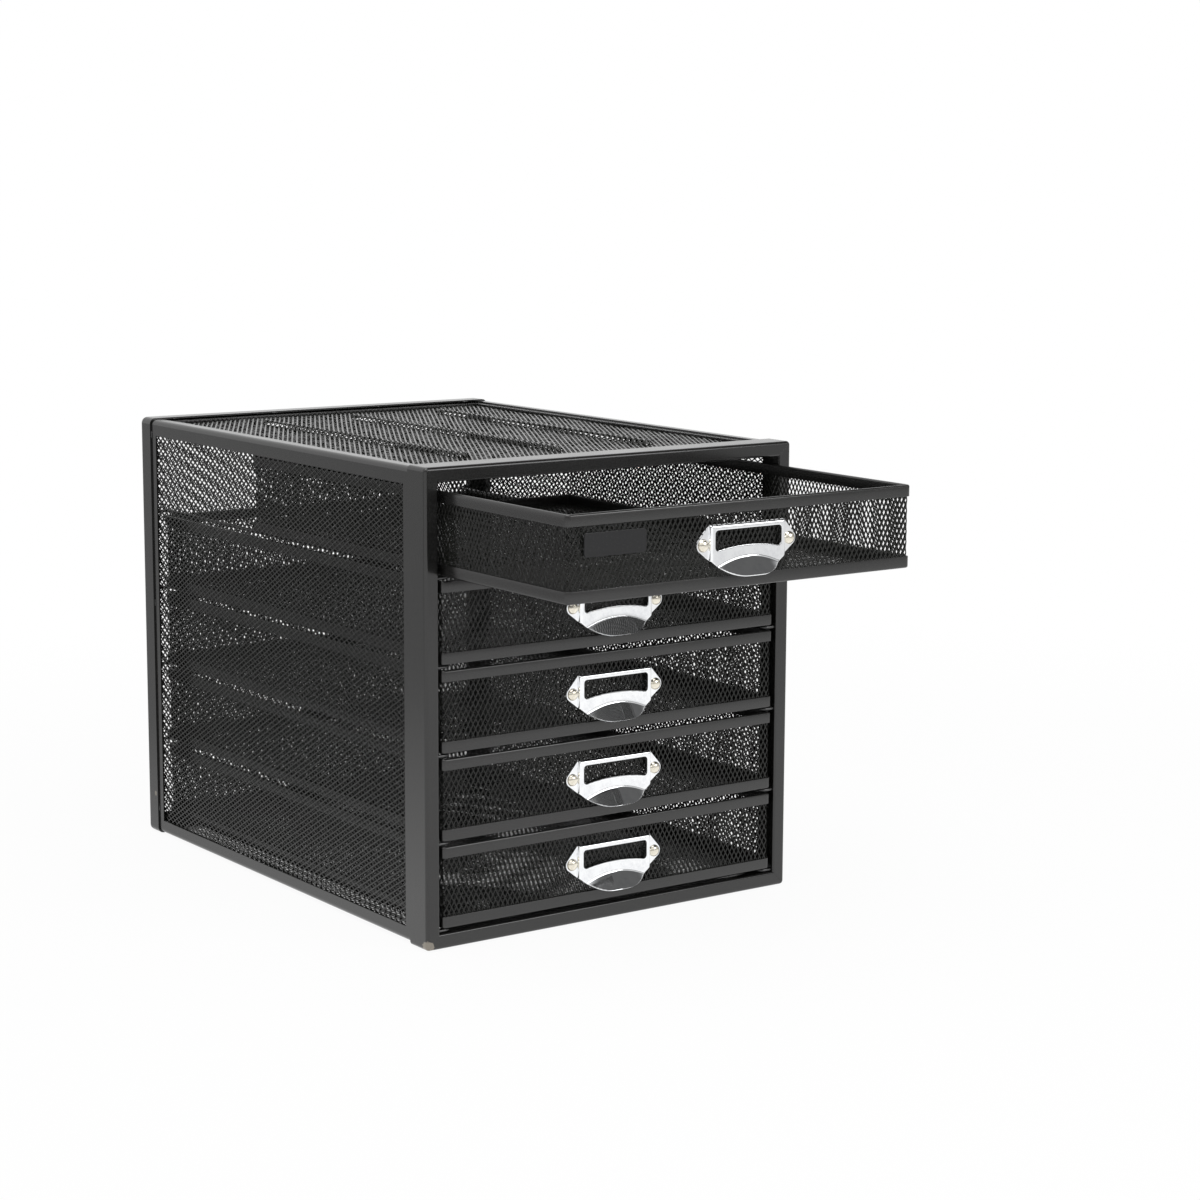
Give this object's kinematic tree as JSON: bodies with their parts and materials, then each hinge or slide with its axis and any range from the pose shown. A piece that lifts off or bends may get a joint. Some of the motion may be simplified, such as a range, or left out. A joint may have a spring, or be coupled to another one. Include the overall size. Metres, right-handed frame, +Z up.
{
  "type": "drawer organizer",
  "caption": "Black steel-mesh desktop organizer with flat drawers on wire runners, each with a chrome label-holder pull; the top drawer is partly open.",
  "frame": {"origin": "middle of the front frame's underside, on the surface that the cabinet stands on", "axes": "+X to the right seen from the front, +Y from the front to the back, +Z up; the drawers open towards -Y"},
  "size_m": [0.274, 0.5047, 0.29],
  "materials": {
    "powder_coat": "satin black powder coat",
    "wire_paint": "gloss black paint",
    "chrome_plate": "polished chrome plate",
    "rivet_steel": "satin nickel plate"
  },
  "bodies": {
    "cabinet": {"front_frame": "powder_coat", "rear_frame": "powder_coat", "left_side_frame": "powder_coat", "right_side_frame": "powder_coat", "left_side_mesh": "powder_coat", "right_side_mesh": "powder_coat", "top_frame": "powder_coat", "top_mesh": "powder_coat", "bottom_frame": "powder_coat", "bottom_mesh": "powder_coat", "rear_mesh": "powder_coat", "left_runners": "wire_paint", "right_runners": "wire_paint"},
    "drawer_1": {"drawer_1_top_rim": "powder_coat", "drawer_1_bottom_rim": "powder_coat", "drawer_1_wall_mesh": "powder_coat", "drawer_1_floor_frame": "powder_coat", "drawer_1_floor_mesh": "powder_coat", "drawer_1_label_pull": "chrome_plate", "drawer_1_rivets": "rivet_steel"},
    "drawer_2": {"drawer_2_top_rim": "powder_coat", "drawer_2_bottom_rim": "powder_coat", "drawer_2_wall_mesh": "powder_coat", "drawer_2_floor_frame": "powder_coat", "drawer_2_floor_mesh": "powder_coat", "drawer_2_label_pull": "chrome_plate", "drawer_2_rivets": "rivet_steel"},
    "drawer_3": {"drawer_3_top_rim": "powder_coat", "drawer_3_bottom_rim": "powder_coat", "drawer_3_wall_mesh": "powder_coat", "drawer_3_floor_frame": "powder_coat", "drawer_3_floor_mesh": "powder_coat", "drawer_3_label_pull": "chrome_plate", "drawer_3_rivets": "rivet_steel"},
    "drawer_4": {"drawer_4_top_rim": "powder_coat", "drawer_4_bottom_rim": "powder_coat", "drawer_4_wall_mesh": "powder_coat", "drawer_4_floor_frame": "powder_coat", "drawer_4_floor_mesh": "powder_coat", "drawer_4_label_pull": "chrome_plate", "drawer_4_rivets": "rivet_steel"},
    "drawer_5": {"drawer_5_top_rim": "powder_coat", "drawer_5_bottom_rim": "powder_coat", "drawer_5_wall_mesh": "powder_coat", "drawer_5_floor_frame": "powder_coat", "drawer_5_floor_mesh": "powder_coat", "drawer_5_label_pull": "chrome_plate", "drawer_5_rivets": "rivet_steel"}
  },
  "joints": [
    {"name": "drawer_1_slide", "type": "slide", "parent": "cabinet", "child": "drawer_1", "axis": [0, -1, 0], "range_m": [-0.128, 0.112]},
    {"name": "drawer_2_slide", "type": "slide", "parent": "cabinet", "child": "drawer_2", "axis": [0, -1, 0], "range_m": [0, 0.24]},
    {"name": "drawer_3_slide", "type": "slide", "parent": "cabinet", "child": "drawer_3", "axis": [0, -1, 0], "range_m": [0, 0.24]},
    {"name": "drawer_4_slide", "type": "slide", "parent": "cabinet", "child": "drawer_4", "axis": [0, -1, 0], "range_m": [0, 0.24]},
    {"name": "drawer_5_slide", "type": "slide", "parent": "cabinet", "child": "drawer_5", "axis": [0, -1, 0], "range_m": [0, 0.24]}
  ]
}
